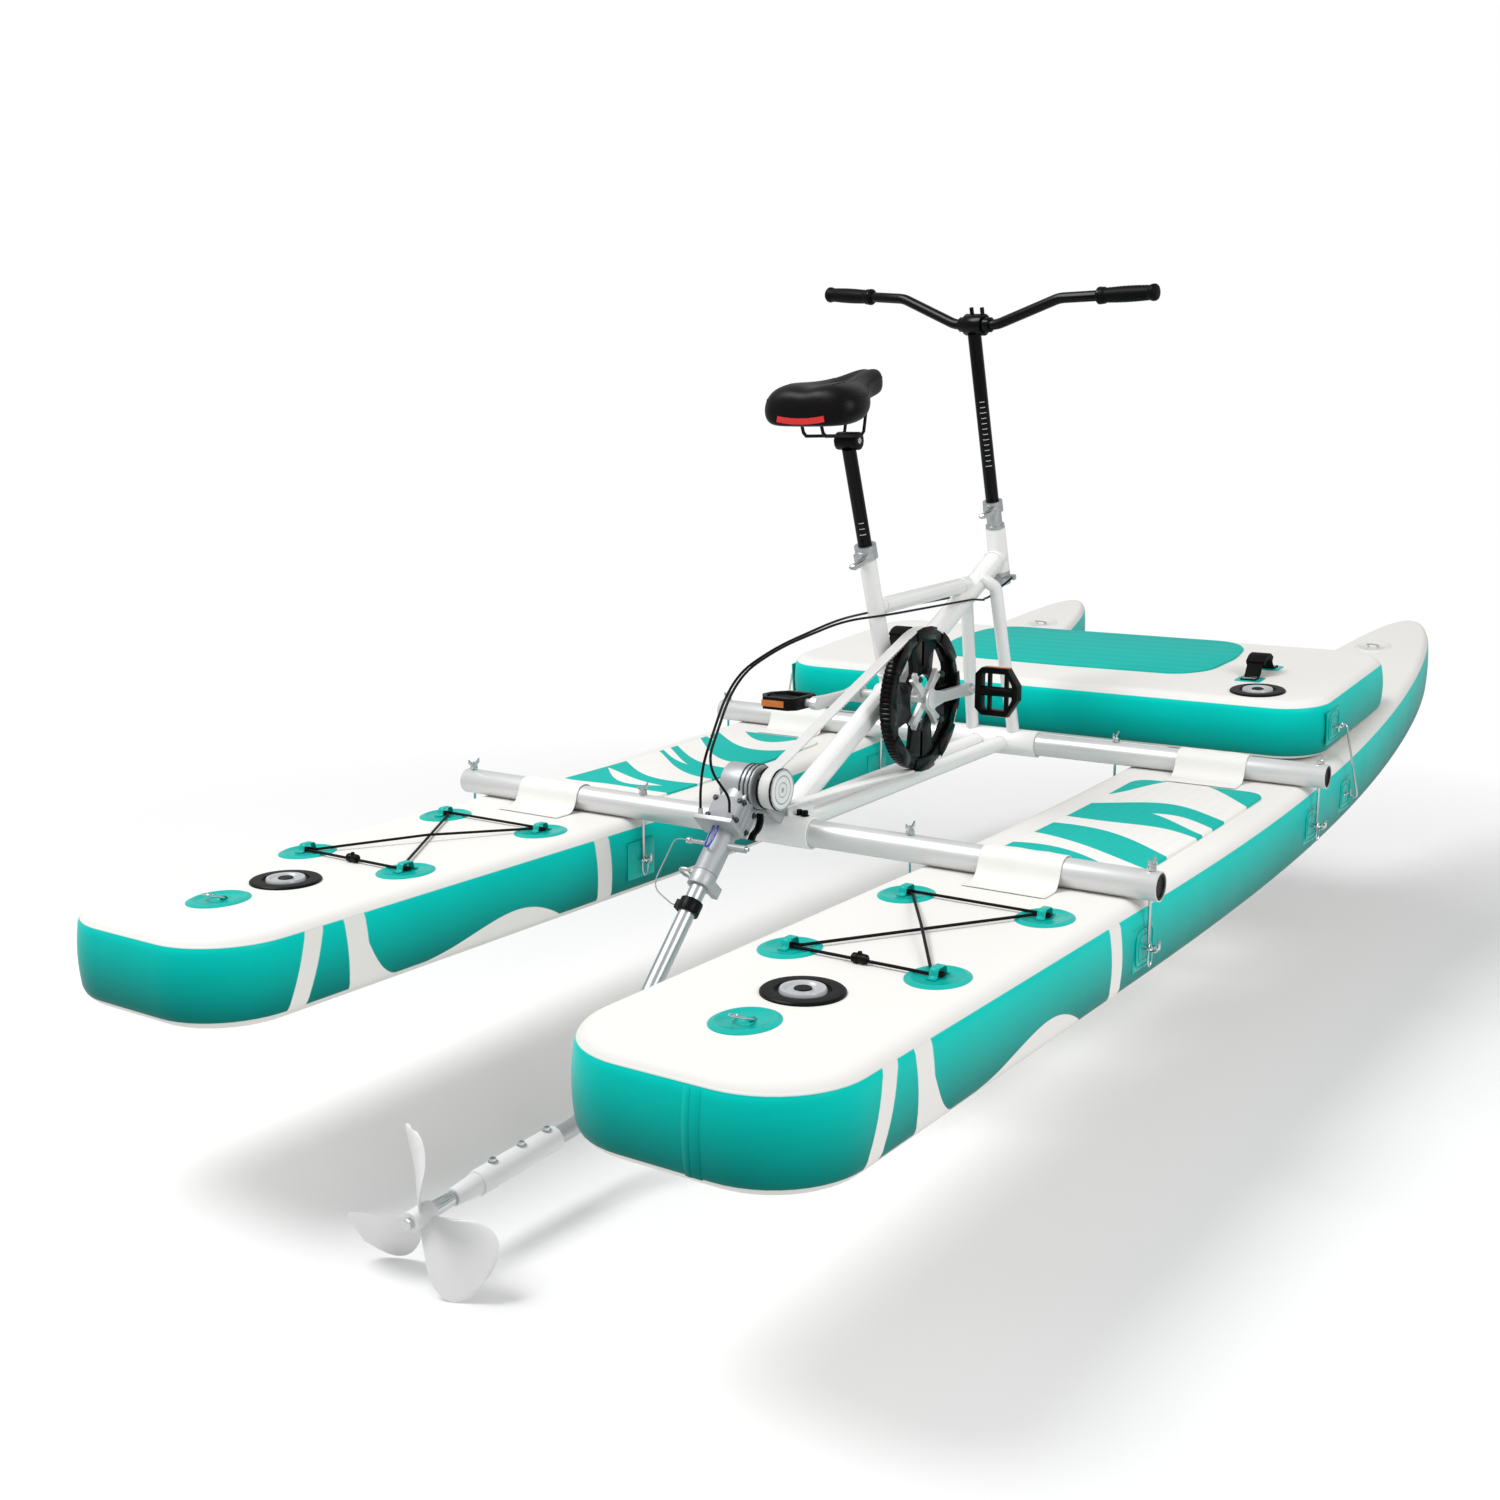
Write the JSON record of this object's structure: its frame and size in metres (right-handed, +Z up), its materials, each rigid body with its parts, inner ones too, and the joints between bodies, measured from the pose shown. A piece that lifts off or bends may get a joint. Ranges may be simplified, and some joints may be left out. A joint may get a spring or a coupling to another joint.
{
  "type": "pontoon water bike",
  "caption": "Pedal-driven catamaran: inflatable pontoons and bow platform, cross beams, bicycle frame, belt drive, steered propeller leg.",
  "frame": {"origin": "bottom centre of the bounding box, below the propeller tip", "axes": "+X to starboard, +Y towards the bow, +Z up"},
  "size_m": [1.5078, 3.58, 1.5288],
  "materials": {
    "float_fabric": "satin",
    "canvas": "matte",
    "white_paint": "gloss",
    "white_plastic": "gloss",
    "aluminium": "satin",
    "cast_alloy": "satin",
    "steel": "polished",
    "black_plastic": "satin",
    "black_paint": "gloss",
    "rubber": "matte",
    "webbing": "matte"
  },
  "bodies": {
    "craft": {"port_pontoon": "float_fabric", "port_bungee": "webbing", "port_rear_wrap": "canvas", "port_front_wrap": "canvas", "port_platform_handle": "webbing", "port_front_leg": "white_paint", "port_steering_cable": "rubber", "port_platform_hook": "steel", "starboard_pontoon": "float_fabric", "starboard_bungee": "webbing", "starboard_rear_wrap": "canvas", "starboard_front_wrap": "canvas", "starboard_platform_handle": "webbing", "starboard_front_leg": "white_paint", "starboard_steering_cable": "rubber", "starboard_platform_hook": "steel", "port_rear_inner_hook_bolt": "steel", "port_rear_outer_hook_bolt": "steel", "port_front_inner_hook_bolt": "steel", "port_front_outer_hook_bolt": "steel", "starboard_rear_inner_hook_bolt": "steel", "starboard_rear_outer_hook_bolt": "steel", "starboard_front_inner_hook_bolt": "steel", "starboard_front_outer_hook_bolt": "steel", "rear_beam": "aluminium", "front_beam": "aluminium", "bow_platform": "float_fabric", "base_frame": "white_paint", "main_frame": "white_paint", "drive_belt": "white_plastic", "drive_bracket": "cast_alloy", "seat_clamp": "aluminium"},
    "crankset": {"crank_spindle": "steel", "belt_wheel": "black_plastic", "port_crank": "cast_alloy", "starboard_crank": "cast_alloy"},
    "starboard_pedal_body": {"starboard_pedal": "black_plastic"},
    "port_pedal_body": {"port_pedal": "black_plastic"},
    "pulley_body": {"input_pulley": "aluminium"},
    "head_body": {"drive_head": "cast_alloy"},
    "leg_body": {"steering_swivel": "cast_alloy", "leg_tube": "aluminium", "leg_clamp": "cast_alloy", "lanyard_clip": "black_plastic", "pin_lanyard": "steel", "tail_tube": "white_plastic", "tail_cap": "white_plastic"},
    "pin_body": {"leg_pin": "steel"},
    "propeller_body": {"propeller_shaft": "steel", "propeller": "white_plastic"},
    "steering_body": {"steering_column": "aluminium"},
    "stem_body": {"handlebar_stem": "black_paint", "handlebar": "black_paint", "port_grip": "rubber", "starboard_grip": "rubber"},
    "stem_lever_body": {"stem_clamp_lever": "steel"},
    "seat_body": {"seat_post": "black_paint", "saddle_cradle": "black_plastic", "saddle": "rubber"},
    "seat_lever_body": {"seat_clamp_lever": "steel"}
  },
  "joints": [
    {"name": "crank_spin", "type": "hinge", "parent": "craft", "child": "crankset", "pos_m": [0, -0.3125, 0.6834], "axis": [-1, 0, 0], "continuous": true},
    {"name": "starboard_pedal_spin", "type": "hinge", "parent": "crankset", "child": "starboard_pedal_body", "pos_m": [0, -0.1425, 0.6834], "axis": [1, 0, 0], "continuous": true},
    {"name": "port_pedal_spin", "type": "hinge", "parent": "crankset", "child": "port_pedal_body", "pos_m": [0, -0.4825, 0.6834], "axis": [1, 0, 0], "continuous": true},
    {"name": "pulley_spin", "type": "hinge", "parent": "craft", "child": "pulley_body", "pos_m": [0, -0.845, 0.5914], "axis": [-1, 0, 0], "continuous": true},
    {"name": "leg_tilt", "type": "hinge", "parent": "craft", "child": "head_body", "pos_m": [0, -0.845, 0.5914], "axis": [-1, 0, 0], "range_deg": [0, 70]},
    {"name": "leg_steer", "type": "hinge", "parent": "head_body", "child": "leg_body", "pos_m": [0, -0.845, 0.5914], "axis": [0, 0.6909, 0.723], "range_deg": [-30, 30]},
    {"name": "leg_pin_slide", "type": "slide", "parent": "leg_body", "child": "pin_body", "axis": [-1, 0, 0], "range_m": [0, 0.13], "deforming": ["pin_lanyard"]},
    {"name": "propeller_spin", "type": "hinge", "parent": "leg_body", "child": "propeller_body", "pos_m": [0, -1.62644, 0.10246], "axis": [0, -0.9988, -0.0489], "continuous": true},
    {"name": "handlebar_steer", "type": "hinge", "parent": "craft", "child": "steering_body", "pos_m": [0, 0.161, 0.9054], "axis": [0, -0.2874, 0.9578], "range_deg": [-30, 30], "deforming": ["port_steering_cable", "starboard_steering_cable"]},
    {"name": "stem_height", "type": "slide", "parent": "steering_body", "child": "stem_body", "axis": [0, -0.2874, 0.9578], "range_m": [-0.07, 0.04]},
    {"name": "stem_lever_turn", "type": "hinge", "parent": "steering_body", "child": "stem_lever_body", "pos_m": [0, 0.0905, 1.04085], "axis": [-1, 0, 0], "range_deg": [0, 90]},
    {"name": "seat_height", "type": "slide", "parent": "craft", "child": "seat_body", "axis": [0, -0.3308, 0.9437], "range_m": [-0.045, 0.06]},
    {"name": "seat_lever_turn", "type": "hinge", "parent": "craft", "child": "seat_lever_body", "pos_m": [0, -0.45881, 0.97133], "axis": [-1, 0, 0], "range_deg": [0, 90]}
  ],
  "couplings": [
    {"joint": "pulley_spin", "follows": "crank_spin", "ratio": 4.0909},
    {"joint": "propeller_spin", "follows": "crank_spin", "ratio": 4.0909},
    {"joint": "leg_steer", "follows": "handlebar_steer", "ratio": -1}
  ]
}
